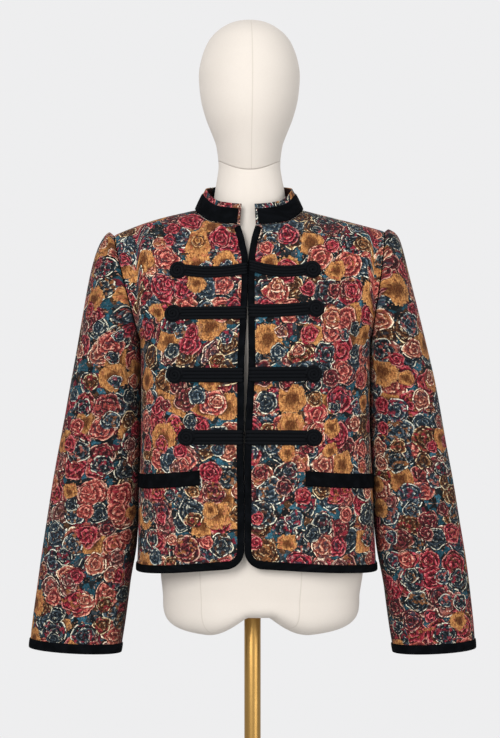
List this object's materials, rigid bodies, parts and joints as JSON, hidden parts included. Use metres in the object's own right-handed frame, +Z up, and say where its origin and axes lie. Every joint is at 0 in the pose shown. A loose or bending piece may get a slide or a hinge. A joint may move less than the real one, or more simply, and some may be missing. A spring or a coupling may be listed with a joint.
{
  "type": "jacquard jacket on a dress form",
  "caption": "Cropped stand-collar jacket in rose jacquard with black bound edges and frog fastenings, hollow and edge to edge, on a limbless dress form with a pole and round base",
  "frame": {"origin": "middle of the base plate's underside, on the axis of the pole", "axes": "+Z up, the jacket's front faces -Y, +X to the viewer's right"},
  "size_m": [0.672, 0.34, 1.7],
  "materials": {
    "jacquard": "matt woven jacquard with roses",
    "trim": "matt black woven trim",
    "cord": "black braided cord",
    "linen": "smooth natural linen stretched over the form",
    "brass": "brushed and polished"
  },
  "bodies": {
    "root": {"base_plate": "brass", "pole_socket": "brass", "pole": "brass", "form_body": "linen", "form_head": "linen", "front_left": "jacquard", "front_right": "jacquard", "back": "jacquard", "sleeve_left": "jacquard", "sleeve_right": "jacquard", "collar": "jacquard", "collar_band": "trim", "binding_left": "trim", "binding_right": "trim", "hem_band_back": "trim", "cuff_band_left": "trim", "cuff_band_right": "trim", "welt_left": "trim", "welt_right": "trim", "frog_1_bar_left": "cord", "frog_2_bar_left": "cord", "frog_3_bar_left": "cord", "frog_4_bar_left": "cord", "frog_1_bar_right": "cord", "frog_2_bar_right": "cord", "frog_3_bar_right": "cord", "frog_4_bar_right": "cord", "frog_1_coil_left": "cord", "frog_2_coil_left": "cord", "frog_3_coil_left": "cord", "frog_4_coil_left": "cord", "frog_1_coil_right": "cord", "frog_2_coil_right": "cord", "frog_3_coil_right": "cord", "frog_4_coil_right": "cord"}
  },
  "joints": []
}
